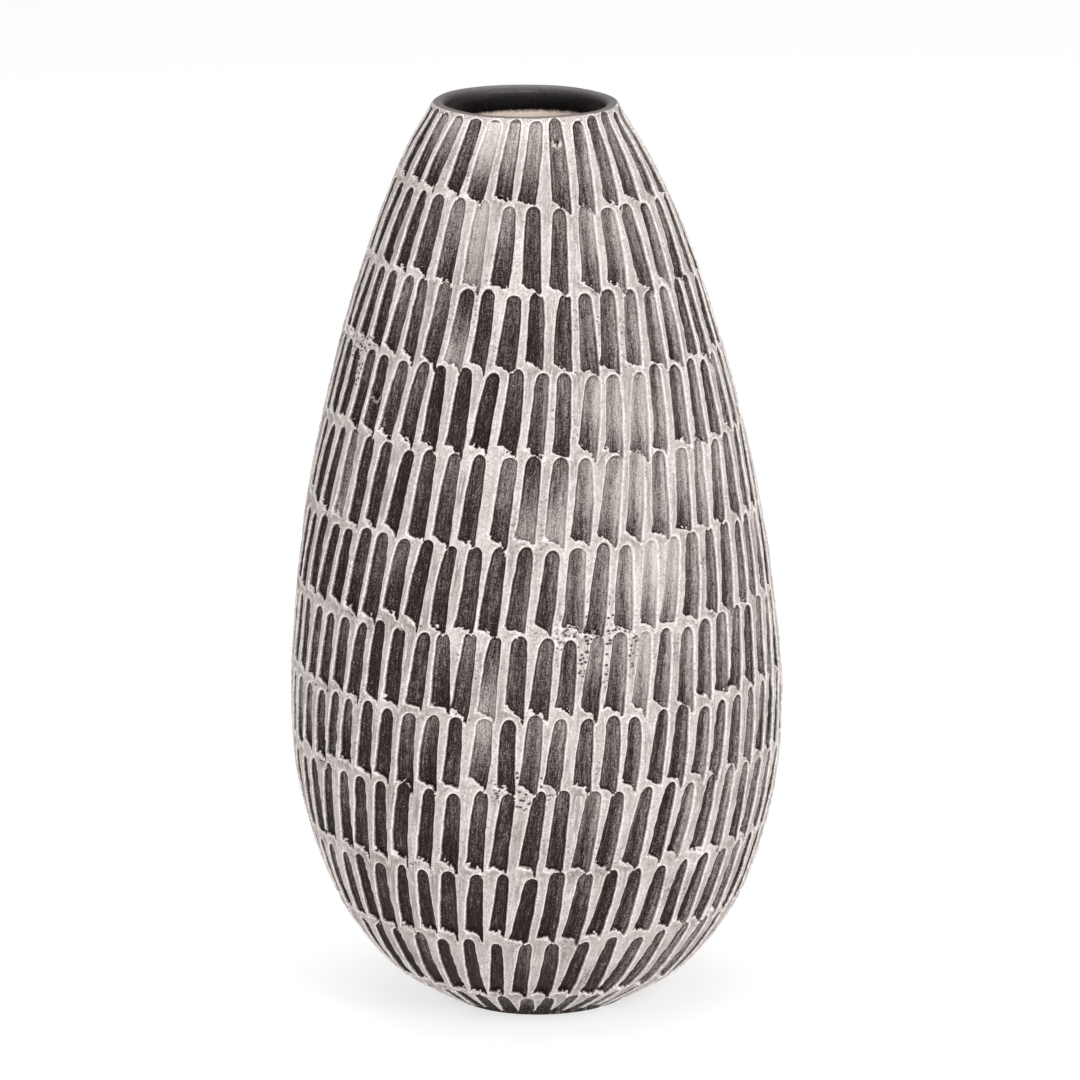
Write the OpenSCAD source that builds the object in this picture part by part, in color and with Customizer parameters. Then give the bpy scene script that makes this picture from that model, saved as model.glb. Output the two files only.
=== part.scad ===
// Hand-built clay vase: a flat base disc, a pinched bowl, five coil courses
// and a rim coil, luted one on the other with lap joints.
// Millimetres, +Z up, origin at the centre of the foot.

/* [Body] */
// Height from the foot to the lip
vase_h = 290; // [260:5:330]
// Radius of the wall at the belly
belly_r = 78; // [70:1:86]
// Radius of the flat foot
foot_r = 28; // [24:1:32]
// Thickness of the wall, measured square to it
wall_t = 6; // [5:0.5:7]

/* [Mouth] */
// Clear radius of the mouth
mouth_r = 25; // [22:1:28]
// Radius of the rounded lip
lip_r = 2.4; // [2:0.1:3]
// How far the rim coil reaches down inside the neck
rim_depth = 17; // [14:1:20]

/* [Joints] */
// How far each course laps down over the inside of the one below
lap = 5; // [3:1:7]

/* [Hidden] */
$fn = 96;

// The wall meets the lip this far round the lip's circle, from its outer side.
lip_start = 20;
wall_top_z = vase_h - lip_r * (1 - sin(lip_start));
wall_top_r = mouth_r + lip_r * (1 + cos(lip_start));

// Egg outline: share of the wall's height, and swell from 0 at the foot or
// the lip to 1 at the belly.
EGG = [
    [0, 0], [0.017, 0.175], [0.041, 0.385], [0.076, 0.575], [0.138, 0.785], [0.242, 0.955],
    [0.364, 1], [0.52, 0.91], [0.69, 0.71], [0.85, 0.425], [0.95, 0.175], [1, 0]
];
BELLY = 6;

// Height at which the outside of each course starts, up from the foot.
COURSE_Z = [for (share = [0, 0.121, 0.301, 0.473, 0.664, 0.834, 1]) share * wall_top_z];
// Height on the outside that faces the inner edge of the floor.
floor_z = 3.5;
// Steps of the outline within one course.
STEPS = 6;

// Swell at knot i, and its slope there.
function knot_slope(i) =
    let (a = max(i - 1, 0), b = min(i + 1, len(EGG) - 1))
    (EGG[b][1] - EGG[a][1]) / (EGG[b][0] - EGG[a][0]);

// Knot that starts the stretch holding share u of the height.
function stretch(u, i = 0) = i >= len(EGG) - 2 || u < EGG[i + 1][0] ? i : stretch(u, i + 1);

// Smooth cubic through the knots.
function swell(u) =
    let (
        i = stretch(u),
        span = EGG[i + 1][0] - EGG[i][0],
        t = (u - EGG[i][0]) / span
    )
    EGG[i][1] * (2 * t * t * t - 3 * t * t + 1)
    + knot_slope(i) * span * (t * t * t - 2 * t * t + t)
    + EGG[i + 1][1] * (3 * t * t - 2 * t * t * t)
    + knot_slope(i + 1) * span * (t * t * t - t * t);

// Outer radius of the wall at height z.
function wall_r(z) =
    let (
        u = z / wall_top_z,
        end_r = u < EGG[BELLY][0] ? foot_r : wall_top_r
    )
    end_r + (belly_r - end_r) * swell(u);

// Unit normal of the outer wall at height z, as [radial, up].
function wall_normal(z) =
    let (
        d = 0.05,
        slope = (wall_r(min(z + d, wall_top_z)) - wall_r(max(z - d, 0)))
            / (min(z + d, wall_top_z) - max(z - d, 0)),
        size = sqrt(1 + slope * slope)
    )
    [1 / size, -slope / size];

// Point [radius, height] at a depth inside the wall, square in from height z.
function wall_pt(z, depth) = [wall_r(z), z] - depth * wall_normal(z);

// Points along the wall from height z0 to z1, in equal steps.
function wall_run(z0, z1, depth) =
    [for (i = [0 : STEPS]) wall_pt(z0 + (z1 - z0) * i / STEPS, depth)];

// Point at share t of a curve from a to b, bending towards the corner c.
function bend(a, c, b, t) = (1 - t) * (1 - t) * a + 2 * t * (1 - t) * c + t * t * b;

// Height on the outside that faces the rim coil's lower edge, and that edge.
rim_z = vase_h - rim_depth;
rim_edge = wall_pt(rim_z, wall_t);

// A ring of wall from course joint c to the next. Its inner face runs from
// height in0 to in1.
module wall_course(c, in0, in1) {
    outer = wall_run(COURSE_Z[c], COURSE_Z[c + 1], 0);
    inner = wall_run(in1, in0, wall_t);
    rotate_extrude()
        polygon(concat(outer, inner));
}

module base_disc() {
    edge = wall_pt(floor_z, wall_t);
    color("dimgray")
        rotate_extrude()
            polygon([[0, 0], [foot_r, 0], edge, [0, edge[1]]]);
}

module pinched_bowl() {
    color("gainsboro") wall_course(0, floor_z, COURSE_Z[1] - lap);
}

module lower_belly_course() {
    color("gainsboro") wall_course(1, COURSE_Z[1] - lap, COURSE_Z[2] - lap);
}

module upper_belly_course() {
    color("gainsboro") wall_course(2, COURSE_Z[2] - lap, COURSE_Z[3] - lap);
}

module lower_shoulder_course() {
    color("gainsboro") wall_course(3, COURSE_Z[3] - lap, COURSE_Z[4] - lap);
}

module upper_shoulder_course() {
    color("gainsboro") wall_course(4, COURSE_Z[4] - lap, COURSE_Z[5] - lap);
}

module neck_course() {
    color("gainsboro") wall_course(5, COURSE_Z[5] - lap, rim_z);
}

// The rim coil fills the wedge inside the neck and ends in the rounded lip.
module rim_coil() {
    lip_centre = [mouth_r + lip_r, vase_h - lip_r];
    lip_end = lip_centre - [lip_r, 0];
    corner = [mouth_r, vase_h - 0.55 * rim_depth];
    lip = [for (a = [lip_start : 10 : 180]) lip_centre + lip_r * [cos(a), sin(a)]];
    throat = [for (t = [0.2 : 0.2 : 0.8]) bend(lip_end, corner, rim_edge, t)];
    color("darkslategray")
        rotate_extrude()
            polygon(concat(lip, throat, [rim_edge]));
}

base_disc();
pinched_bowl();
lower_belly_course();
upper_belly_course();
lower_shoulder_course();
upper_shoulder_course();
neck_course();
rim_coil();
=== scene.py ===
"""A hand-built clay vase, carved all over with rows of gouge marks.

Each CAD node is hidden, and a finished piece takes its place: closed rings of
carved wall, the black rim coil and the foot disc. Lengths in this script are
millimetres until they become mesh vertices. An angle on the vase is 0 at the
front (-Y) and grows towards +X.
"""

import math

import bmesh
import bpy
import numpy as np
from mathutils import Matrix, Vector


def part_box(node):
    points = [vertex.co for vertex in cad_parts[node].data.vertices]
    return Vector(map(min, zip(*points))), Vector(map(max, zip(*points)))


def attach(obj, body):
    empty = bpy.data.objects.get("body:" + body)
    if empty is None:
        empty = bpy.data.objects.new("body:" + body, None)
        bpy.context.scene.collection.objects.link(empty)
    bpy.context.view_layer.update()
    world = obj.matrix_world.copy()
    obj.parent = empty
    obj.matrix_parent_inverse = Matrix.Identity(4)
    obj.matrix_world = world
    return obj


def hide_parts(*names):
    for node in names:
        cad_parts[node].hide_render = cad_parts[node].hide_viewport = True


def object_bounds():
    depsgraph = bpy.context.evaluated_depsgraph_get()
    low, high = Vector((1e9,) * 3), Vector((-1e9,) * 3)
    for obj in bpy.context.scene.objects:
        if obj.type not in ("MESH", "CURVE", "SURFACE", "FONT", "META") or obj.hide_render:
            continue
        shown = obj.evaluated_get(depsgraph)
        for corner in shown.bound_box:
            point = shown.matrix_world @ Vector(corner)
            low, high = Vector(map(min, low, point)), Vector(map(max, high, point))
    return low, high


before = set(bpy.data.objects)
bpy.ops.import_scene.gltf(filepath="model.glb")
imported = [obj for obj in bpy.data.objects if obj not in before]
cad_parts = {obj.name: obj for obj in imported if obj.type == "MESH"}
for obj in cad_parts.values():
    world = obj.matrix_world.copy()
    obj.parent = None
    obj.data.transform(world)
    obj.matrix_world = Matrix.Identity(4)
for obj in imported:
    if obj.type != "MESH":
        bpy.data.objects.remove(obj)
cad_low, cad_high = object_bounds()

MM = 0.001
TAU = 2 * math.pi
BAKE_UV = "OFBake"

# ---------------------------------------------------------------- outline

COURSES = [
    "pinched_bowl",
    "lower_belly_course",
    "upper_belly_course",
    "lower_shoulder_course",
    "upper_shoulder_course",
    "neck_course",
]
TOP_Z = cad_high.z / MM  # height of the lip
BELLY_R = 78  # widest radius
WALL = 6.0  # thickness, square to the outside
LAP = 5.0  # each course laps down inside the one below by this height
FLOOR_Z = 3.5  # height outside that faces the inner edge of the floor
MOUTH_R = 25  # clear radius of the mouth
LIP_R = 2.4  # radius of the rounded lip
LIP_START = 20  # degrees round the lip's circle at which the wall meets it
RIM_DEPTH = 17  # how far the rim coil reaches down inside the neck


def node_points(name):
    """The vertices of a CAD node, as (radius, height)."""
    co = np.array([v.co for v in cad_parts[name].data.vertices]) / MM
    return np.column_stack([np.hypot(co[:, 0], co[:, 1]), co[:, 2]])


def outer_profile():
    """Points of the CAD's outside, from foot to lip: the outer side of their convex hull."""
    points = np.vstack([node_points(n) for n in COURSES])
    hull = []
    for r, z in points[np.lexsort((points[:, 0], points[:, 1]))]:
        while len(hull) > 1:
            (r0, z0), (r1, z1) = hull[-2:]
            if (r1 - r0) * (z - z0) - (z1 - z0) * (r - r0) > 0.01:
                break
            hull.pop()
        hull.append((r, z))
    return np.array(hull)


def smooth(x, xs, ys):
    """A smooth curve through the points xs, ys, read at x."""
    slope = np.gradient(ys, xs)
    i = np.clip(np.searchsorted(xs, x, side="right") - 1, 0, len(xs) - 2)
    span = xs[i + 1] - xs[i]
    t = np.clip((x - xs[i]) / span, 0, 1)
    rise = 3 * t**2 - 2 * t**3
    return (
        ys[i] * (1 - rise)
        + ys[i + 1] * rise
        + span * slope[i] * (t**3 - 2 * t**2 + t)
        + span * slope[i + 1] * (t**3 - t**2)
    )


def ease(x, low, high):
    """0 below low, 1 above high, and smooth between."""
    t = np.clip((x - low) / (high - low), 0, 1)
    return t * t * (3 - 2 * t)


HULL = outer_profile()
HEIGHTS = np.linspace(0, HULL[-1, 1], 1500)
RADII = smooth(HEIGHTS, HULL[:, 1], HULL[:, 0])
# Distance up the wall from the foot's edge, which the carving is measured along.
ARC = np.concatenate([[0], np.cumsum(np.hypot(np.diff(HEIGHTS), np.diff(RADII)))])
SLOPE = np.gradient(RADII, HEIGHTS)


def arc_at(height):
    """Distance up the wall to a height; it runs straight on past the foot and the lip."""
    past = np.minimum(height, 0) + np.maximum(height - HEIGHTS[-1], 0)
    return np.interp(height, HEIGHTS, ARC) + past


def wall_at(arc):
    """Radius, height and outward normal (radial, up) at a distance up the wall."""
    z = np.interp(arc, ARC, HEIGHTS)
    slope = np.interp(z, HEIGHTS, SLOPE)
    size = np.hypot(1, slope)
    return np.interp(z, HEIGHTS, RADII), z, 1 / size, -slope / size


# ---------------------------------------------------------------- carving

# Rows of gouge marks, top row first: heights of the row's lower and upper end,
# marks round the vase, lean of the marks in degrees (top to the right), the
# angle of one mark near the front, and half the width of a mark.
ROWS = [
    (266, 288.9, 29, 6, 3.7, 3.2),
    (241, 264.5, 34, 4, 1.9, 3.2),
    (217, 239.5, 44, 6, 1.9, 3.2),
    (192, 215.5, 48, 6.5, 1.9, 3.25),
    (165, 190.5, 50, 8, -0.9, 3.3),
    (138, 163, 56, 8, -3.3, 3.3),
    (112, 135.5, 60, 7, 1.3, 3.2),
    (88, 110, 60, 7, -1.3, 3.2),
    (61, 86, 56, 9, -1.9, 3.2),
    (36, 59, 53, 9, 2.8, 3.1),
    (12, 34, 44, 9, 1.9, 2.9),
    (-6, 11, 39, 8, 0.5, 2.7),
]
# How far round the grid of the meshes leans with the marks, up from the foot.
ROW_MIDDLES = [(low + high) / 2 for low, high, *_ in reversed(ROWS)]
ROW_LEANS = np.radians([row[3] for row in reversed(ROWS)])
TURN_RATE = np.tan(np.interp(HEIGHTS, ROW_MIDDLES, ROW_LEANS)) / RADII
TWIST = np.concatenate([[0], np.cumsum(np.diff(ARC) * (TURN_RATE[1:] + TURN_RATE[:-1]) / 2)])

# How far the rows dip to the right, by height.
TILT_HEIGHTS = [0, 60, 90, 165, 190, 217, 241, 266, 287]
TILT_DROPS = [0, 0, 1.2, 1.3, 2.6, 3.0, 3.8, 3.4, 0]

MARK_DEPTH = 2.15

# The wall thins to nothing at the lip and at the foot's edge, so marks get
# shallower there, and bumps lower: depth or height for each mm.
NECK_TAPER = 0.2
FOOT_TAPER = 0.65
BUMP_TAPER = 0.35

# Marks with more slip left in them: height, angle, and how pale they are at
# the lower end and at the upper end, from 0 to 1.
PALE_MARKS = [
    (277, -58, 0.05, 0.4),
    (277, -46, 0.03, 0.38),
    (277, -33, 0.02, 0.12),
    (277, -19, 0.05, 0.62),
    (277, -8, 0.05, 0.38),
    (277, 4, 0.05, 0.3),
    (253, -18, 0.5, 0.55),
    (229, -22, 0.5, 0.1),
    (178, -1, 0.42, 0.1),
    (178, 5.5, 0.5, 0.15),
    (178, -57, 0.45, 0.4),
    (150, 38, 0.3, 0.42),
    (150, 31, 0.15, 0.4),
    (123, 25, 0.3, 0.45),
    (123, -12, 0.5, 0.1),
    (99, -11, 0.2, 0.5),
    (178, 140, 0.5, 0.6),
    (253, 165, 0.1, 0.7),
    (99, 200, 0.6, 0.3),
    (203, 250, 0.7, 0.5),
    (74, 110, 0.2, 0.6),
]

# Areas where all the marks are paler: height and angle of the middle, half its
# height and its half angle, and how pale. The three at the front are partly slip
# and partly painted sheen, where the key lamp reflects in the dark floors; the
# three round the back are slip that stays in the marks.
SLIP_AND_SHEEN_AREAS = [
    (185, 26, 50, 18, 0.32),
    (272, 5, 22, 45, 0.2),
    (120, 58, 40, 25, 0.1),
    (150, 160, 60, 25, 0.35),
    (215, 215, 40, 22, 0.3),
    (80, 265, 35, 22, 0.25),
]

# Small round chips: height, angle and radius in mm.
CHIPS = [
    (283.2, 17, 1.3),
    (264.5, 41, 2.0),
    (203, -52, 1.6),
    (150, 118, 1.8),
    (240, 200, 1.6),
]

# Areas where the ridges are pitted: height and angle of the middle, half its
# height and its half angle.
PITTED_AREAS = [
    (134, 15, 16, 12),
    (212, -62, 10, 8),
    (88, -4, 8, 8),
    (170, 150, 20, 14),
    (60, 235, 14, 12),
]


def lattice(seed, angle, arc, cell):
    """Smooth noise from -1 to 1 on the wall, with cells of the given size in mm (across, up)."""
    across = max(4, round(TAU * BELLY_R / cell[0]))
    rows = int(ARC[-1] / cell[1]) + 6
    grid = np.random.default_rng(seed).uniform(-1, 1, (rows, across))
    x = (angle / TAU) % 1 * across
    y = arc / cell[1] + 2
    i, j = np.floor(x).astype(int), np.floor(y).astype(int)
    fx, fy = x - i, y - j
    fx, fy = fx * fx * (3 - 2 * fx), fy * fy * (3 - 2 * fy)
    j = np.clip(j, 0, rows - 2)
    low = grid[j, i % across] * (1 - fx) + grid[j, (i + 1) % across] * fx
    high = grid[j + 1, i % across] * (1 - fx) + grid[j + 1, (i + 1) % across] * fx
    return low * (1 - fy) + high * fy


def row_marks(index):
    """The marks of one row, as arrays with one value for each mark."""
    low, high, count, lean, phase, half = ROWS[index]
    draw = np.random.default_rng(100 + index)
    pitch = TAU / count
    torn = min(1, (high - low) / 20)  # short marks end more cleanly
    marks = {
        "angle": math.radians(phase) + pitch * (np.arange(count) + draw.normal(0, 0.035, count)),
        "half": half * draw.uniform(0.88, 1.08, count),
        "low": arc_at(low) - 0.2 + draw.normal(0, 0.7, count),
        "high": arc_at(high) + 0.7 + draw.normal(0, 0.6, count),
        "lean": np.tan(np.radians(lean + draw.normal(0, 1.5, count))),
        "bow": draw.normal(0, 0.25, count),
        "depth": MARK_DEPTH * draw.uniform(0.82, 1.15, count),
        "slant": torn * draw.uniform(0.2, 0.6, count),
        "spike": torn * draw.uniform(1.0, 2.9, count) * (draw.random(count) < 0.8),
        "boot": draw.uniform(0, 0.3, count),
        "crumbs": torn * (draw.random(count) < 0.6),
        "taper": draw.uniform(0.2, 0.36, count),
        "cap": draw.uniform(2.0, 3.6, count),
        "left_slip_and_light": draw.uniform(0.0, 0.3, count),
        "right_slip_and_light": draw.uniform(0.0, 0.3, count),
        "wash_low": 0.04 + 0.1 * draw.random(count),
        "wash_high": 0.08 + 0.25 * draw.random(count) ** 2,
    }
    # painted light: beside random slip, the flanks of a mark are made paler by its angle round the
    # vase, as if lit from the front right: left flanks more on the right half, right flanks most at
    # the front right
    facing = np.sin(2 * marks["angle"]) * np.abs(np.cos(marks["angle"]))
    marks["left_slip_and_light"] *= 0.6 + 0.4 * np.sin(marks["angle"])
    marks["right_slip_and_light"] = np.maximum(marks["right_slip_and_light"] + 0.3 * facing, 0)
    for height, angle, pale_low, pale_high in PALE_MARKS:
        if low < height < high:
            turn = (marks["angle"] - math.radians(angle) + math.pi) % TAU - math.pi
            chosen = np.argmin(np.abs(turn))
            marks["wash_low"][chosen] = pale_low
            marks["wash_high"][chosen] = pale_high
    return marks


MARKS = [row_marks(i) for i in range(len(ROWS))]


def sheen_and_slip_paleness(angle, level):
    """How much paler the marks are, in random patches and in the listed areas: slip, and painted
    sheen at the front.
    """
    slip_and_light = 0.07 * lattice(12, angle, level, (50, 40))
    for height, centre, tall, wide, pale in SLIP_AND_SHEEN_AREAS:
        turn = (np.degrees(angle) - centre + 180) % 360 - 180
        slip_and_light = slip_and_light + pale * np.exp(-((turn / wide) ** 2) - ((level - arc_at(height)) / tall) ** 2)
    return slip_and_light


def near_spot(angle, level, radius, spot_height, spot_angle):
    """Offsets in mm, across and up, from a spot on the wall."""
    turn = (angle - math.radians(spot_angle) + math.pi) % TAU - math.pi
    return turn * radius, level - arc_at(spot_height)


def one_mark(m, a, v, r, warp_x, warp_y, crumbs, slip_and_sheen):
    """What one mark does at points of angle a, level v and radius r.

    m holds the values of each point's own mark. t runs up the mark from 0 to 1,
    x and u go across it, in mm and in half widths, and side and foot are the
    distances in mm inside its sides and its torn lower end.
    """
    length = m["high"] - m["low"]
    t = np.clip((v - m["low"]) / length, 0, 1)
    turn = (a - m["angle"] + math.pi) % TAU - math.pi
    x = turn * r - m["lean"] * (v - m["low"] - length / 2) + m["bow"] * (2 * t - 1) ** 2
    x = x + warp_x
    half = m["half"] * (1 - m["taper"] * t**2)
    half = half * np.where(x < 0, 1 + m["boot"] * ease(t, 0.2, 0.0), 1)
    down = np.clip((m["cap"] - (m["high"] - v)) / m["cap"], 0, None)
    side = half * (1 - (np.abs(x / half) ** 2.1 + down**2.1) ** (1 / 2.1))
    spike = m["spike"] * np.exp(-(((x / half - 0.8) / 0.24) ** 2))
    foot = v - m["low"] + m["slant"] * x + spike + warp_y
    edge = np.minimum(side, 0.9 * foot)
    share = np.clip(side / half, 0, 1)
    floor = (1 - (1 - share) ** 4.5) * ease(foot, 0, 0.8)
    scoop = 0.62 * floor + 0.38 * np.sin(share * math.pi / 2)
    slip_and_light = m["wash_low"] + (m["wash_high"] - m["wash_low"]) * ease(t, 0.05, 0.9)
    # painted sheen and slip of the pale areas, most towards the upper end
    slip_and_light = slip_and_light + slip_and_sheen * (0.25 + 0.75 * ease(t, 0.0, 0.45))
    u = x / half
    # paler flanks: random slip, with painted light by the mark's angle round the vase
    slip_and_light = slip_and_light + m["left_slip_and_light"] * ease(u, -0.2, -1.0) + m["right_slip_and_light"] * ease(u, 0.0, 1.0)
    crumb = m["crumbs"] * crumbs * ease(foot, 1.9, 0.9) * ease(foot, 0, 0.25)
    edge = np.minimum(edge, 0.3 - 0.6 * crumb + 3 * (crumb < 0.01))
    floor = floor * (1 - crumb)
    pushed = 0.28 * np.exp(-(((foot + 0.5) / 0.55) ** 2)) * ease(side, -0.3, 0.5)
    raised = 0.10 * np.exp(-(((side + 0.15) / 0.35) ** 2)) * ease(foot, -0.5, 1)
    return {
        "carve": floor,
        "edge": edge,
        "slip_and_light": slip_and_light,
        "across": x,
        "along": v - m["low"],
        "cut": m["depth"] * (1 - 0.4 * t**1.5) * scoop * (1 - 0.75 * crumb),
        "burr": np.where(edge < 0.05, np.maximum(pushed, raised), 0),
    }


def carve(angle, level):
    """What the gouge left at each point.

    This gives the relief outwards in mm, and the values that the materials read:
    carve is 1 on the floor of a mark, edge is the distance in mm inside a mark's
    edge, a third value is how pale its floor is, from slip that stayed in it and
    from painted light, sheen and highlights, and across, along and mark place the
    streaks.
    """
    shape = angle.shape
    radius = wall_at(level)[0]
    warp_x = 0.14 * lattice(1, angle, level, (3, 4))
    warp_x = warp_x + 0.08 * lattice(2, angle, level, (1.2, 1.5))
    warp_y = 0.55 * lattice(3, angle, level, (1.3, 1.3))
    warp_y = warp_y + 0.3 * lattice(4, angle, level, (0.8, 0.8))
    out = {
        "carve": np.zeros(shape),
        "edge": np.full(shape, -3.0),
        "slip_and_light": np.zeros(shape),
        "across": np.zeros(shape),
        "along": np.zeros(shape),
        "mark": np.zeros(shape),
        "cut": np.zeros(shape),
        "burr": np.zeros(shape),
    }
    pitted = np.zeros(shape)
    for height, centre, tall, wide in PITTED_AREAS:
        across, up = near_spot(angle, level, radius, height, centre)
        across = across / (math.radians(wide) * radius)
        pitted = pitted + np.exp(-(across**2) - (up / tall) ** 2)
    crumbs = ease(lattice(13, angle, level, (0.95, 0.85)), 0.2, 0.5)
    slip_and_sheen = sheen_and_slip_paleness(angle, level)
    for marks, (low, high, count, _, phase, _) in zip(MARKS, ROWS):
        near = (level > arc_at(low) - 5) & (level < arc_at(high) + 4)
        if not near.any():
            continue
        a, v, r = angle[near], level[near], radius[near]
        row = {key: np.full(a.shape, -3.0 if key == "edge" else 0.0) for key in out}
        first = np.round((a - math.radians(phase)) / (TAU / count)).astype(int)
        for step in (-1, 0, 1):
            number = (first + step) % count
            m = {key: values[number] for key, values in marks.items()}
            new = one_mark(m, a, v, r, warp_x[near], warp_y[near], crumbs[near], slip_and_sheen[near])
            new["mark"] = number * 7.3
            closer = new["edge"] > row["edge"]
            for key, values in new.items():
                row[key] = np.where(closer, values, row[key])
        # a thin crest stays where the marks of two rows run into each other
        kept = {key: values[near] for key, values in out.items()}
        closer = row["edge"] > kept["edge"]
        both = (row["edge"] > 0) & (kept["edge"] > 0)
        crest = np.abs(row["edge"] - kept["edge"])
        worn = np.where(both, ease(crest, 0.1, 0.8), 1)
        for key in out:
            out[key][near] = np.where(closer, row[key], kept[key])
        edge = out["edge"][near]
        out["edge"][near] = np.where(both, np.minimum(edge, crest - 0.2), edge)
        out["carve"][near] *= worn
        out["cut"][near] *= 0.4 + 0.6 * worn
    rough = 0.09 * lattice(5, angle, level, (3, 3)) + 0.05 * lattice(6, angle, level, (1.2, 1.2))
    chatter = 0.09 * lattice(7, angle, level, (0.9, 5)) + 0.06 * lattice(8, angle, level, (2, 1.1))
    torn = 0.35 * lattice(9, angle, level, (0.9, 0.9))
    torn = torn * ease(out["along"], 2.6, 0.2) * ease(out["edge"], -0.2, 0.4)
    inside = ease(out["edge"], -0.2, 0.6)
    swell = 0.35 * lattice(10, angle, level, (28, 24)) + 0.12 * lattice(11, angle, level, (10, 8))
    relief = swell - out["cut"] + out["burr"] + rough * (1 - inside) + (chatter + torn) * inside
    for height, centre, size in CHIPS:
        across, up = near_spot(angle, level, radius, height, centre)
        gap = np.hypot(across, up + warp_y)
        ring = np.exp(-(((gap - size) / 0.35) ** 2)) * ease(up, 1.2 * size, -0.6 * size)
        relief = relief - 0.7 * ease(gap, size, 0.5 * size) + 0.45 * ring
        # painted highlight on the chip's raised rim, and painted shade in its hollow
        out["slip_and_light"] = out["slip_and_light"] + 0.8 * ring - 0.4 * ease(gap, size, 0.6 * size)
    out["pitted"] = pitted
    from_foot = np.maximum(level, 0)
    deepest = np.minimum(NECK_TAPER * (ARC[-1] - level), FOOT_TAPER * from_foot)
    out["relief"] = np.clip(relief, -deepest, BUMP_TAPER * from_foot)
    return out


# ---------------------------------------------------------------- meshes

GRID = 0.51  # width of a mesh cell at a course's widest, in mm
SLIP_WRAP = 0.1  # share of an end of a course that the slip covers
INNER_ROWS = 14  # loops of points on the inside of a course
RIM_COLUMNS = 420
FOOT_COLUMNS = 360
LIP_DROP = 0.7  # the lip is this much lower at the right


def dip(level):
    """How far a carved line drops at the right side of the vase."""
    return np.interp(level, arc_at(TILT_HEIGHTS), TILT_DROPS)


def place(radius, height, angle):
    """Vertices in metres, with the slight dip of the lip to the right."""
    drop = LIP_DROP * np.sin(angle) * ease(height, TOP_Z - 55, TOP_Z)
    return np.stack([radius * np.sin(angle), -radius * np.cos(angle), height - drop], -1) * MM


def carved_points(angle, level):
    """Positions on the carved outside, and the carving there."""
    arc = level - dip(level) * np.sin(angle)
    radius, height, out, up = wall_at(arc)
    made = carve(angle, level)
    relief = made["relief"]
    return place(radius + out * relief, height + up * relief, angle), made


def point_normals(points):
    """Normals of a grid of points that is closed along its second axis."""
    up = np.gradient(points, axis=0)
    round_ = np.roll(points, -1, 1) - np.roll(points, 1, 1)
    n = np.cross(round_, up)
    return n / np.maximum(np.linalg.norm(n, axis=-1, keepdims=True), 1e-12)


def levels_between(low, high, ends, fine=0.4, coarse=0.9):
    """Grid levels from low to high, finer near the ends of the marks."""
    levels = [low]
    while levels[-1] < high:
        gap = min(abs(levels[-1] - end) for end in ends)
        levels.append(levels[-1] + (fine if gap < 3.2 else coarse))
    levels = np.array(levels)
    return low + (levels - low) * (high - low) / (levels[-1] - low)


class Band:
    """A run of face strips round a piece, with their material and place in the bake map."""

    def __init__(self, strips, material, v_low, v_high, segments=1):
        self.strips, self.material = strips, material
        self.v_low, self.v_high, self.segments = v_low, v_high, segments

    def uv(self, columns):
        """Corners of the band's faces in the map. The band is cut in equal segments, stacked."""
        margin = 0.004
        share = np.arange(columns) * self.segments / columns
        segment = np.floor(share)
        left = margin + (share - segment) * (1 - 2 * margin)
        right = left + self.segments / columns * (1 - 2 * margin)
        tall = (self.v_high - self.v_low) / self.segments
        step = (tall - margin) / self.strips
        out = np.zeros((self.strips, columns, 4, 2))
        for i in range(self.strips):
            low = self.v_low + segment * tall + i * step
            out[i, :, 0] = np.stack([left, low], -1)
            out[i, :, 1] = np.stack([right, low], -1)
            out[i, :, 2] = np.stack([right, low + step], -1)
            out[i, :, 3] = np.stack([left, low + step], -1)
        return out


def turned_piece(name, rows, bands, materials, normals=None, values=None):
    """A solid made of closed loops of points, each joined to the next.

    When the bands' strips are as many as the rows, the last row joins the first.
    """
    columns = len(rows[0])
    strips = sum(band.strips for band in bands)
    i = np.arange(strips)[:, None]
    j = np.arange(columns)[None, :]
    beside = (j + 1) % columns
    above = (i + 1) % len(rows)
    corners = [i * columns + j, i * columns + beside, above * columns + beside, above * columns + j]
    quads = np.stack(corners, -1).reshape(-1, 4)
    mesh = bpy.data.meshes.new(name)
    mesh.vertices.add(len(rows) * columns)
    mesh.vertices.foreach_set("co", np.concatenate(rows).astype(np.float32).ravel())
    mesh.loops.add(quads.size)
    mesh.loops.foreach_set("vertex_index", quads.astype(np.int32).ravel())
    mesh.polygons.add(len(quads))
    mesh.polygons.foreach_set("loop_start", np.arange(0, quads.size, 4, dtype=np.int32))
    finish = np.concatenate([np.full(band.strips * columns, band.material) for band in bands])
    mesh.polygons.foreach_set("material_index", finish.astype(np.int32))
    mesh.polygons.foreach_set("use_smooth", np.ones(len(quads), bool))
    mesh.update(calc_edges=True)
    uv = np.concatenate([band.uv(columns) for band in bands])
    mesh.uv_layers.new(name=BAKE_UV).data.foreach_set("uv", uv.astype(np.float32).ravel())
    for key, data in (values or {}).items():
        vector = data.ndim == 2
        layer = mesh.attributes.new(key, "FLOAT_VECTOR" if vector else "FLOAT", "POINT")
        layer.data.foreach_set("vector" if vector else "value", data.astype(np.float32).ravel())
    for material in materials:
        mesh.materials.append(material)
    if normals is not None:
        mesh.normals_split_custom_set_from_vertices(np.concatenate(normals).tolist())
    piece = bpy.data.objects.new(name, mesh)
    bpy.context.scene.collection.objects.link(piece)
    return piece


def inner_point(height, angle):
    """A point of the wall's inner face, square in from a height outside, with soft finger rings."""
    radius, z, out, up = wall_at(arc_at(height))
    fingers = 0.35 * np.sin(height * 0.9)
    depth = WALL + fingers + 0.25 * lattice(20, angle, arc_at(height) + 0 * angle, (30, 14))
    return place(radius - out * depth, z - up * depth, angle)


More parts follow.
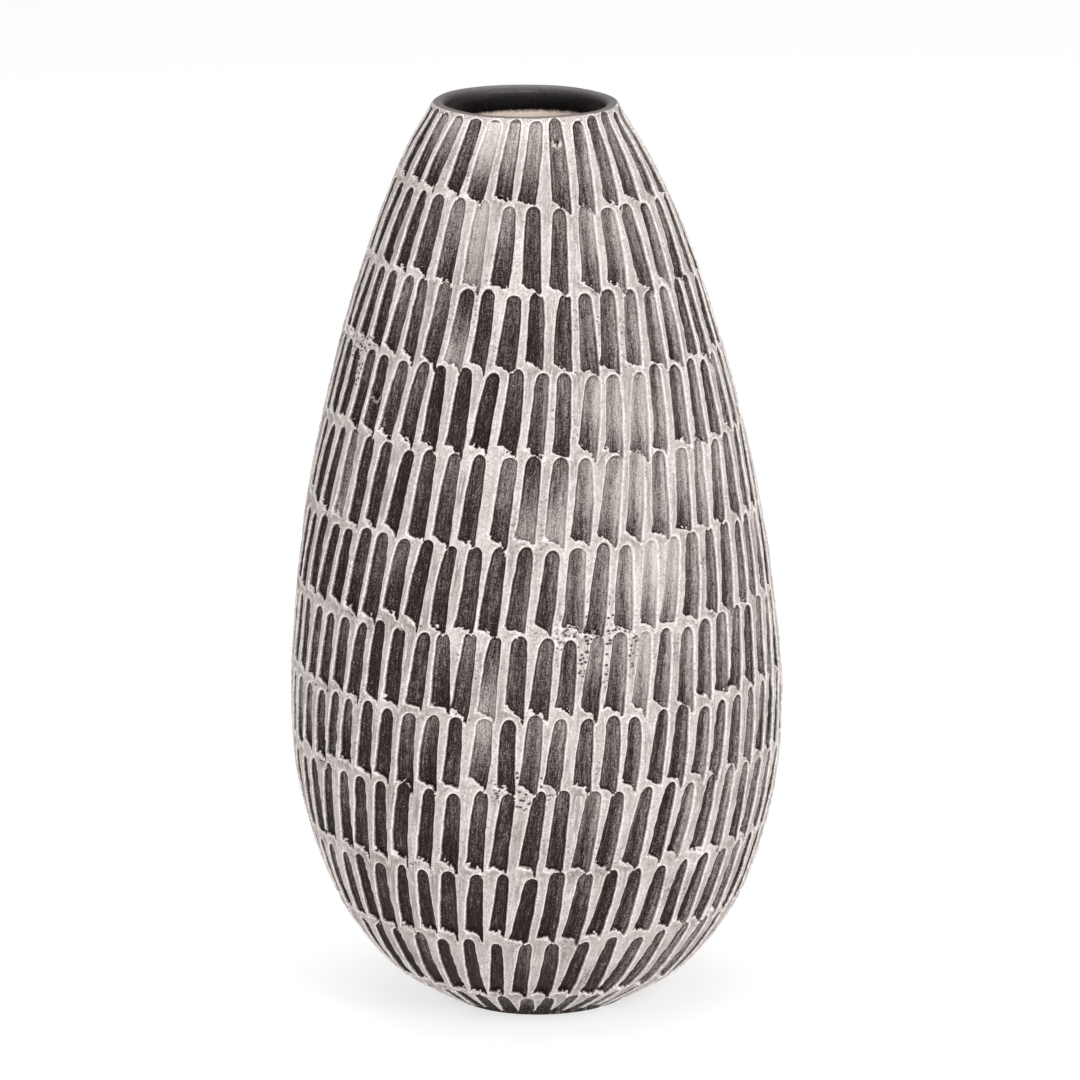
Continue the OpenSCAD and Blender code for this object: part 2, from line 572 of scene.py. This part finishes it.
def course_piece(name, low, high, inner_low, inner_high, materials):
    """One carved ring of wall, from low to high outside and inner_low to inner_high inside."""
    widest = RADII[(HEIGHTS >= low) & (HEIGHTS <= high)].max()
    columns = 12 * round(TAU * widest / GRID / 12)
    angle = np.arange(columns) * TAU / columns
    ends = [arc_at(z) for row in ROWS for z in row[:2]]
    levels = levels_between(arc_at(low), arc_at(high), ends)
    step = levels[1] - levels[0]
    padded = np.concatenate([[levels[0] - step], levels, [levels[-1] + step]])
    turned = angle + np.interp(padded, ARC, TWIST)[:, None]
    points, made = carved_points(turned, padded[:, None] + 0 * turned)
    outer_normals = point_normals(points)[1:-1]
    outer = points[1:-1]
    turned = angle + np.linspace(turned[-2, 0], turned[1, 0], INNER_ROWS)[:, None]
    height = np.linspace(inner_high, inner_low, INNER_ROWS)[:, None]
    inner = inner_point(height + 0 * turned, turned)
    inner_normals = point_normals(inner)
    # the slip wraps a little way round each end of the course
    top_wrap = outer[-1] + SLIP_WRAP * (inner[0] - outer[-1])
    low_wrap = outer[0] + SLIP_WRAP * (inner[-1] - outer[0])
    segments = round(math.sqrt(TAU * widest / (arc_at(high) - arc_at(low))))
    bands = [
        Band(len(outer) - 1, 0, 0.0, 0.80, segments),
        Band(1, 0, 0.962, 0.969),
        Band(1, 1, 0.970, 0.978),
        Band(len(inner) - 1, 1, 0.80, 0.96, segments),
        Band(1, 1, 0.979, 0.987),
        Band(1, 0, 0.988, 0.996),
    ]
    blank = np.zeros(inner.shape[:2])
    values = {}
    for key in ("carve", "edge", "slip_and_light", "pitted", "across", "along", "mark"):
        shown = made[key][1:-1]
        inside = blank - (key == "edge")
        values[key] = np.concatenate([shown, shown[-1:], inside, shown[:1]]).ravel()
    values["grain"] = np.stack([values.pop(key) for key in ("across", "along", "mark")], -1)
    rows = [*outer, top_wrap, *inner, low_wrap]
    normals = [*outer_normals, outer_normals[-1], *inner_normals, outer_normals[0]]
    return turned_piece(name, rows, bands, materials, normals, values)


def rim_piece(name, materials):
    """The black coil: rounded lip and throat, wedged inside the top of the neck."""
    angle = np.arange(RIM_COLUMNS) * TAU / RIM_COLUMNS
    lip_z = TOP_Z - LIP_R
    turn = np.radians(np.linspace(LIP_START, 180, 26))
    lip = np.column_stack([MOUTH_R + LIP_R * (1 + np.cos(turn)), lip_z + LIP_R * np.sin(turn)])
    edge_r, edge_z, out, up = wall_at(arc_at(TOP_Z - RIM_DEPTH))
    edge = np.array([edge_r - WALL * out, edge_z - WALL * up])
    corner = np.array([MOUTH_R, TOP_Z - 0.55 * RIM_DEPTH])
    t = np.linspace(0, 1, 30)[1:, None]
    throat = (1 - t) ** 2 * lip[-1] + 2 * t * (1 - t) * corner + t**2 * edge
    wall_shade_line = np.vstack([lip, throat])
    flat = 0 * angle
    wide = 0.22 * lattice(30, angle, 100 + flat, (50, 50))
    lift = 0.15 * lattice(32, angle, 80 + flat, (40, 40))
    rows = []
    for k, (r, z) in enumerate(wall_shade_line):
        soft = ease(k, 0, 6) * ease(len(wall_shade_line) - 1 - k, 0, 6)
        wave = wide + 0.06 * lattice(31, angle, 100 + z + flat, (9, 6))
        rows.append(place(r + soft * wave, z + soft * lift, angle))
    rows = np.array(rows)
    # the tops of the highest marks run on over the outside of the lip
    past = ARC[-1] + LIP_R * (turn - turn[0])
    level = np.concatenate([past, np.full(len(throat), past[-1] + 9)])[:, None] + flat
    made = carve(angle + 0 * level, level)
    values = {key: made[key].ravel() for key in ("carve", "edge")}
    bands = [Band(len(rows) - 1, 0, 0.0, 0.93, 2), Band(1, 0, 0.94, 0.99)]
    return turned_piece(name, list(rows), bands, materials, list(point_normals(rows)), values)


def foot_piece(name, materials):
    """The disc under the vase: a shallow hollow underneath, and the floor inside."""
    angle = np.arange(FOOT_COLUMNS) * TAU / FOOT_COLUMNS
    foot_r = wall_at(0.0)[0]
    edge_r, edge_z, out, up = wall_at(arc_at(FLOOR_Z))
    edge = (edge_r - WALL * out, edge_z - WALL * up)
    under = [(0.0, 0.7), (4, 0.7), (9, 0.68), (14, 0.6), (18, 0.45), (21, 0.2), (22.5, 0.04)]
    under += [(23.5, 0.0), (25.5, 0.0), (26.6, 0.05), (27.4, 0.2), (foot_r, 0.5)]
    top = [edge] + [(edge[0] * k, edge[1] - 0.25 * (1 - k)) for k in (0.9, 0.7, 0.5, 0.3, 0.1, 0.0)]
    rows = []
    for r, z in under + top:
        rough = 0.08 * lattice(40, angle, 3 * r + 0 * angle, (6, 6)) * min(r / 5, 1) * (z != 0)
        rows.append(place(r + 0 * angle, z + rough, angle))
    bands = [
        Band(len(under) - 1, 0, 0.0, 0.49),
        Band(1, 0, 0.5, 0.52),
        Band(len(top) - 1, 1, 0.53, 0.99),
    ]
    piece = turned_piece(name, rows, bands, materials)
    work = bmesh.new()
    work.from_mesh(piece.data)
    bmesh.ops.remove_doubles(work, verts=work.verts, dist=1e-7)
    bmesh.ops.recalc_face_normals(work, faces=work.faces)
    work.to_mesh(piece.data)
    work.free()
    piece.data.set_sharp_from_angle(angle=math.radians(40))
    return piece


# ---------------------------------------------------------------- materials

RIDGE_PALE = (0.87, 0.80, 0.77, 1)
RIDGE_WARM = (0.75, 0.68, 0.645, 1)
RIDGE_BRIGHT = (0.98, 0.93, 0.905, 1)
RIDGE_SMEAR = (0.26, 0.215, 0.20, 1)
FLOOR_DARK = (0.019, 0.0095, 0.0075, 1)
BUFF = (0.90, 0.76, 0.67, 1)
BUFF_DEEP = (0.78, 0.63, 0.53, 1)
BUFF_DARK = (0.36, 0.27, 0.20, 1)
BLACK = (0.009, 0.0075, 0.008, 1)
# painted shade and sheen inside the mouth: the deepest black is shade low in the throat, the dusty
# black is also sheen higher up, the lip colour is sheen along the top of the lip
BLACK_THROAT_SHADE = (0.001, 0.0005, 0.0005, 1)
BLACK_DUST_AND_SHEEN = (0.040, 0.036, 0.038, 1)
LIP_SHEEN = (0.17, 0.155, 0.155, 1)
PAPER = (0.5, 0.5, 0.5, 1)
PAPER_DEEP = (0.47, 0.47, 0.47, 1)
PAPER_GLOW = 0.67  # light that the background paper gives off, to stay pale

SPRAY_END = 281.7  # height at which the black stops inside the mouth
SLIP_START = 28.75  # radius from which the outside's slip covers the lip


class Graph:
    """A short way to write a material's nodes."""

    def __init__(self, name, roughness, specular=0.5):
        self.material = bpy.data.materials.new(name)
        self.material.use_nodes = True
        self.tree = self.material.node_tree
        self.shader = self.tree.nodes["Principled BSDF"]
        self.shader.inputs["Roughness"].default_value = roughness
        self.shader.inputs["Specular IOR Level"].default_value = specular

    def node(self, kind, **settings):
        made = self.tree.nodes.new("ShaderNode" + kind)
        for key, value in settings.items():
            setattr(made, key, value)
        return made

    def feed(self, socket, value):
        if isinstance(value, bpy.types.NodeSocket):
            self.tree.links.new(value, socket)
        else:
            socket.default_value = value

    def math(self, operation, a, b=0.0):
        made = self.node("Math", operation=operation)
        self.feed(made.inputs[0], a)
        self.feed(made.inputs[1], b)
        return made.outputs[0]

    def add(self, a, b):
        return self.math("ADD", a, b)

    def times(self, a, b):
        return self.math("MULTIPLY", a, b)

    def swing(self, noise, size):
        """Noise moved to swing about 0, by this much from end to end."""
        return self.times(self.add(noise, -0.5), size)

    def step(self, value, low, high, out_low=0.0, out_high=1.0):
        """Eases from out_low to out_high as value goes from low to high."""
        made = self.node("MapRange", interpolation_type="SMOOTHSTEP")
        for socket, v in zip(made.inputs, (value, low, high, out_low, out_high)):
            self.feed(socket, v)
        return made.outputs[0]

    def mix(self, share, a, b):
        made = self.node("Mix", data_type="RGBA")
        self.feed(made.inputs[0], share)
        self.feed(made.inputs[6], a)
        self.feed(made.inputs[7], b)
        return made.outputs[2]

    def value(self, name):
        return self.node("Attribute", attribute_name=name).outputs["Fac"]

    def place_mm(self, stretch=(1, 1, 1)):
        """Object coordinates in millimetres, stretched."""
        made = self.node("Mapping", vector_type="POINT")
        self.feed(made.inputs["Vector"], self.node("TexCoord").outputs["Object"])
        made.inputs["Scale"].default_value = [s / MM for s in stretch]
        return made.outputs[0]

    def height(self, at):
        """Height above the foot's plane."""
        split = self.node("SeparateXYZ")
        self.feed(split.inputs[0], at)
        return split.outputs["Z"]

    def reach(self, at):
        """Distance from the vase's axis."""
        flat = self.node("VectorMath", operation="MULTIPLY")
        self.feed(flat.inputs[0], at)
        flat.inputs[1].default_value = (1, 1, 0)
        length = self.node("VectorMath", operation="LENGTH")
        self.feed(length.inputs[0], flat.outputs[0])
        return length.outputs["Value"]

    def grain(self, stretch):
        """Coordinates along the gouge marks, in millimetres, stretched."""
        made = self.node("Mapping", vector_type="POINT")
        source = self.node("Attribute", attribute_name="grain")
        self.feed(made.inputs["Vector"], source.outputs["Vector"])
        made.inputs["Scale"].default_value = stretch
        return made.outputs[0]

    def noise(self, vector, scale, detail=2.0, roughness=0.5):
        made = self.node("TexNoise")
        self.feed(made.inputs["Vector"], vector)
        made.inputs["Scale"].default_value = scale
        made.inputs["Detail"].default_value = detail
        made.inputs["Roughness"].default_value = roughness
        return made.outputs[0]

    def pits(self, vector, scale, size):
        """1 in small scattered dots, 0 elsewhere."""
        made = self.node("TexVoronoi", feature="F1")
        self.feed(made.inputs["Vector"], vector)
        made.inputs["Scale"].default_value = scale
        return self.step(made.outputs["Distance"], size * 1.3, size * 0.7)

    def bump(self, height, distance):
        made = self.node("Bump")
        made.inputs["Strength"].default_value = 1.0
        made.inputs["Distance"].default_value = distance
        self.feed(made.inputs["Height"], height)
        return made.outputs[0]

    def done(self, colour, roughness, normal):
        self.feed(self.shader.inputs["Base Color"], colour)
        self.feed(self.shader.inputs["Roughness"], roughness)
        self.feed(self.shader.inputs["Normal"], normal)
        return self.material


def slipped_clay():
    """Pale slip on the ridges, worn and smeared, over charcoal clay that shows in the marks."""
    g = Graph("slipped_clay", 0.7, 0.14)
    at = g.place_mm()
    carve, edge, slip_and_light, pitted = (g.value(name) for name in ("carve", "edge", "slip_and_light", "pitted"))
    speck = g.noise(at, 2.3, 3, 0.7)
    grit = g.noise(at, 1.5, 3, 0.65)
    mottle = g.noise(at, 0.9, 3, 0.6)
    streak = g.noise(g.grain((1.6, 0.1, 1)), 1.0, 4, 0.65)
    fine_streak = g.noise(g.grain((5, 0.35, 1)), 1.0, 3, 0.6)
    # how far the slip gives way to dark clay
    ragged = g.add(g.swing(speck, 0.8), g.swing(fine_streak, 0.4))
    dark = g.step(g.add(carve, ragged), 0.02, 0.5)
    dark = g.times(dark, g.step(g.add(edge, g.swing(speck, 0.3)), -0.02, 0.12))
    # ridges: grey and streaked along the middle, bright along the edges
    cloud = g.noise(at, 0.035, 4, 0.6)
    ridge = g.mix(g.step(cloud, 0.35, 0.7), RIDGE_PALE, RIDGE_WARM)
    ridge = g.mix(g.step(g.noise(at, 0.07, 3, 0.6), 0.53, 0.68), ridge, RIDGE_BRIGHT)
    soiled = g.step(g.noise(at, 0.055, 3, 0.6), 0.35, 0.65, 0.35, 1.0)
    smear = g.times(g.step(streak, 0.34, 0.58), g.step(edge, -0.2, -1.1, 0.35, 1.0))
    ridge = g.mix(g.times(g.times(smear, soiled), 0.9), ridge, RIDGE_SMEAR)
    ridge = g.mix(g.times(g.step(mottle, 0.45, 0.7), 0.35), ridge, RIDGE_SMEAR)
    ridge = g.mix(g.times(g.step(grit, 0.5, 0.68), 0.56), ridge, RIDGE_SMEAR)
    ridge = g.mix(g.times(g.step(speck, 0.5, 0.7), 0.62), ridge, RIDGE_SMEAR)
    # painted shade: the ridges, and further down the floors of the marks, darker towards the foot,
    # where the lower wall turns down away from the lamps
    low = g.step(g.height(at), 100, 15)
    ridge = g.mix(g.times(low, 0.2), ridge, RIDGE_SMEAR)
    crisp = g.times(g.step(edge, -0.32, -0.12), g.step(edge, 0.16, 0.0))
    crisp = g.times(crisp, g.step(g.add(mottle, g.swing(grit, 0.6)), 0.72, 0.4, 0.25, 0.95))
    ridge = g.mix(crisp, ridge, RIDGE_BRIGHT)
    # floors of the marks: streaked, paler with slip and painted light, with painted shade in a
    # darker line inside the edge, where the steep wall shades the floor
    wall_shade_line = g.times(g.step(edge, 0.1, 0.3), g.step(edge, 0.95, 0.45))
    pale = g.add(slip_and_light, g.add(g.swing(streak, 0.7), g.swing(fine_streak, 0.8)))
    pale = g.add(pale, g.add(g.swing(speck, 1.1), g.swing(grit, 0.5)))
    # painted shade: darker just inside the edges and towards the foot
    pale = g.add(pale, g.add(g.times(wall_shade_line, -0.2), g.times(low, -0.1)))
    floor = g.mix(g.step(pale, 0.0, 1.05), FLOOR_DARK, RIDGE_WARM)
    colour = g.mix(dark, ridge, floor)
    # pits in patches, and short scored dashes under the marks
    patch = g.step(g.noise(at, 0.05, 2), 0.55, 0.7, 0, 0.5)
    patch = g.math("MAXIMUM", patch, g.step(pitted, 0.2, 0.7))
    pit = g.pits(g.place_mm((1, 1, 1.5)), 0.62, 0.36)
    pit = g.times(pit, g.times(patch, g.step(edge, 0.1, -0.2)))
    split = g.node("SeparateXYZ")
    g.feed(split.inputs[0], g.grain((1, 1, 1)))
    line = g.step(g.math("ABSOLUTE", g.add(split.outputs["Y"], 0.9)), 0.26, 0.1)
    scored = g.times(line, g.step(g.noise(at, 0.11, 1), 0.64, 0.67))
    scored = g.times(scored, g.step(edge, -0.1, -0.3))
    nick = g.math("MAXIMUM", pit, scored)
    colour = g.mix(g.times(nick, 0.92), colour, FLOOR_DARK)
    rough = g.add(g.step(dark, 0, 1, 0.78, 0.5), g.swing(speck, 0.2))
    height = g.add(g.times(g.noise(at, 1.1, 4, 0.6), 0.6), g.times(speck, 0.5))
    height = g.add(height, g.times(g.times(fine_streak, g.step(edge, 0, 0.5)), 0.9))
    height = g.add(height, g.times(nick, -1.2))
    return g.done(colour, rough, g.bump(height, 0.2 * MM))


def raw_clay():
    """The bare buff clay inside."""
    g = Graph("raw_buff_clay", 0.9, 0.2)
    at = g.place_mm()
    cloud = g.noise(at, 0.04, 4, 0.6)
    colour = g.mix(g.step(cloud, 0.3, 0.7), BUFF, BUFF_DEEP)
    colour = g.mix(g.times(g.step(g.noise(at, 1.5, 4, 0.7), 0.55, 0.75), 0.3), colour, BUFF_DARK)
    rings = g.noise(g.place_mm((0.02, 0.02, 0.5)), 1.0, 3)
    height = g.add(g.times(rings, 1.2), g.noise(at, 1.8, 4, 0.6))
    return g.done(colour, g.step(cloud, 0.2, 0.8, 0.82, 0.95), g.bump(height, 0.2 * MM))


def rim_clay():
    """Smooth black at the lip, which ends inside in a ragged sprayed edge over buff clay."""
    g = Graph("black_rim_clay", 0.42, 0.18)
    at = g.place_mm()
    grain = g.noise(at, 1.6, 4, 0.7)
    ends = g.add(g.height(at), g.swing(g.noise(at, 0.5, 4, 0.7), 1.6))
    black = g.step(ends, SPRAY_END - 0.6, SPRAY_END + 0.9)
    # painted shade and sheen: deepest black low in the throat by the sprayed edge, greyer upwards
    # and pale along the top of the lip where the lamps reflect, over a random dusty grey mottle
    reach = g.reach(at)
    lip_sheen = g.times(g.step(g.add(reach, g.swing(grain, 1.4)), 24.6, 27.0), g.step(ends, 286, 288.8))
    throat = g.mix(g.step(ends, SPRAY_END + 0.5, SPRAY_END + 4.5), BLACK_THROAT_SHADE, BLACK)
    throat = g.mix(g.step(ends, SPRAY_END + 3.5, SPRAY_END + 7.5, 0.0, 0.75), throat, BLACK_DUST_AND_SHEEN)
    mottle_and_sheen = g.mix(lip_sheen, g.mix(g.step(grain, 0.45, 0.75, 0.0, 0.6), throat, BLACK_DUST_AND_SHEEN), LIP_SHEEN)
    buff = g.mix(g.step(grain, 0.4, 0.7), BUFF, BUFF_DEEP)
    colour = g.mix(black, buff, mottle_and_sheen)
    # slip from the outside, with the tops of the highest marks in it
    ragged = g.add(reach, g.swing(g.noise(at, 0.9, 4, 0.7), 0.8))
    slip = g.step(ragged, SLIP_START - 0.2, SLIP_START + 0.2)
    slip_tone = g.mix(g.step(grain, 0.3, 0.7), RIDGE_WARM, RIDGE_SMEAR)
    edge = g.value("edge")
    floor_tone = g.mix(g.step(grain, 0.3, 0.8), FLOOR_DARK, RIDGE_SMEAR)
    slip_tone = g.mix(g.step(g.value("carve"), 0.1, 0.6), slip_tone, floor_tone)
    crisp = g.times(g.step(edge, -0.35, -0.12), g.step(edge, 0.2, 0.0))
    slip_tone = g.mix(g.times(crisp, 0.6), slip_tone, RIDGE_BRIGHT)
    colour = g.mix(slip, colour, slip_tone)
    rough = g.step(black, 0, 1, 0.9, 0.38)
    rough = g.add(g.add(rough, g.swing(grain, 0.2)), g.times(slip, 0.35))
    height = g.add(g.noise(at, 1.2, 3), g.times(g.noise(at, 5, 2), 0.3))
    return g.done(colour, rough, g.bump(height, 0.08 * MM))


def foot_clay():
    """Buff clay under the foot, dark with spray towards the edge."""
    g = Graph("foot_clay", 0.85, 0.25)
    at = g.place_mm()
    reach = g.reach(at)
    ragged = g.add(reach, g.swing(g.noise(at, 0.35, 5, 0.7), 7))
    sprayed = g.step(ragged, 19, 25)
    cloud = g.noise(at, 0.08, 4, 0.6)
    clay = g.mix(g.step(cloud, 0.3, 0.7), BUFF, BUFF_DEEP)
    clay = g.mix(g.times(g.step(g.noise(at, 0.9, 4, 0.7), 0.5, 0.75), 0.4), clay, BUFF_DARK)
    colour = g.mix(sprayed, clay, BLACK_DUST_AND_SHEEN)
    height = g.add(g.noise(at, 0.9, 4, 0.6), g.times(g.noise(at, 4, 2), 0.4))
    return g.done(colour, g.step(cloud, 0.2, 0.8, 0.75, 0.92), g.bump(height, 0.25 * MM))


def floor_paper():
    """A plain pale sheet of background paper."""
    g = Graph("floor_paper", 0.95, 0.0)
    tone = g.noise(g.place_mm(), 0.02, 2)
    colour = g.mix(g.times(tone, 0.05), PAPER, PAPER_DEEP)
    g.feed(g.shader.inputs["Base Color"], colour)
    g.shader.inputs["Emission Color"].default_value = (1, 1, 1, 1)
    g.shader.inputs["Emission Strength"].default_value = PAPER_GLOW
    return g.material


# ---------------------------------------------------------------- the vase

tops = [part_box(name)[1].z / MM for name in COURSES]
slip, buff = slipped_clay(), raw_clay()
for c, node_name in enumerate(COURSES):
    low = tops[c - 1] if c else 0.0
    inner_low = low - LAP if c else FLOOR_Z
    inner_high = tops[c] - LAP if c < len(COURSES) - 1 else TOP_Z - RIM_DEPTH
    course = course_piece("carved_" + node_name, low, tops[c], inner_low, inner_high, [slip, buff])
    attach(course, "root")
    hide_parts(node_name)

rim = rim_piece("black_rim_coil", [rim_clay()])
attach(rim, "root")
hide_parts("rim_coil")

foot = foot_piece("foot_disc", [foot_clay(), buff])
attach(foot, "root")
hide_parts("base_disc")

# ---------------------------------------------------------------- stage, light and camera


def add_floor():
    bpy.ops.mesh.primitive_plane_add(size=14, location=(0, 3, 0))
    floor = bpy.context.object
    floor.name = "floor_paper"
    floor.data.materials.append(floor_paper())


def add_softbox(name, place_at, aim, size, power):
    """A rectangular studio lamp, aimed at a point."""
    lamp = bpy.data.lights.new(name, "AREA")
    lamp.shape = "RECTANGLE"
    lamp.size, lamp.size_y = size
    lamp.energy = power
    ob = bpy.data.objects.new(name, lamp)
    ob.location = place_at
    ob.rotation_euler = (Vector(aim) - Vector(place_at)).to_track_quat("-Z", "Y").to_euler()
    bpy.context.scene.collection.objects.link(ob)


def add_camera():
    """A long lens, a little above the vase and square to its front, rolled slightly."""
    camera = bpy.data.cameras.new("camera")
    camera.sensor_width = 36
    camera.lens = 260
    camera.clip_end = 50
    ob = bpy.data.objects.new("camera", camera)
    ob.location = (0, -2.4, 0.739)
    aim = Vector((0.002, 0, 0.1485)) - ob.location
    roll = Matrix.Rotation(-0.0191, 3, "Z").to_quaternion()
    ob.rotation_euler = (aim.to_track_quat("-Z", "Y") @ roll).to_euler()
    bpy.context.scene.collection.objects.link(ob)
    bpy.context.scene.camera = ob


def add_mouth_light():
    """A narrow soft spot that lights the clay inside the mouth."""
    lamp = bpy.data.lights.new("mouth", "SPOT")
    lamp.energy = 185
    lamp.spot_size = math.radians(1.26)
    lamp.spot_blend = 1.0
    lamp.shadow_soft_size = 0.02
    ob = bpy.data.objects.new("mouth", lamp)
    ob.location = (0, -1.705, 1.279)
    aim = Vector((0, 0.027, 0.279)) - ob.location
    ob.rotation_euler = aim.to_track_quat("-Z", "Y").to_euler()
    bpy.context.scene.collection.objects.link(ob)


add_floor()
add_softbox("key", (1.12, -1.72, 1.05), (0, 0, 0.16), (0.7, 1.1), 21)
add_softbox("fill", (-1.6, -1.5, 0.9), (0, 0, 0.15), (1.2, 1.2), 9.2)
add_softbox("top", (0, 0, 2.2), (0, 0, 0.1), (2.0, 2.0), 23)
add_mouth_light()
world = bpy.data.worlds.new("studio")
world.use_nodes = True
world.node_tree.nodes["Background"].inputs[0].default_value = (1, 1, 1, 1)
world.node_tree.nodes["Background"].inputs[1].default_value = 0.40
bpy.context.scene.world = world
bpy.context.scene.view_settings.view_transform = "Standard"
add_camera()
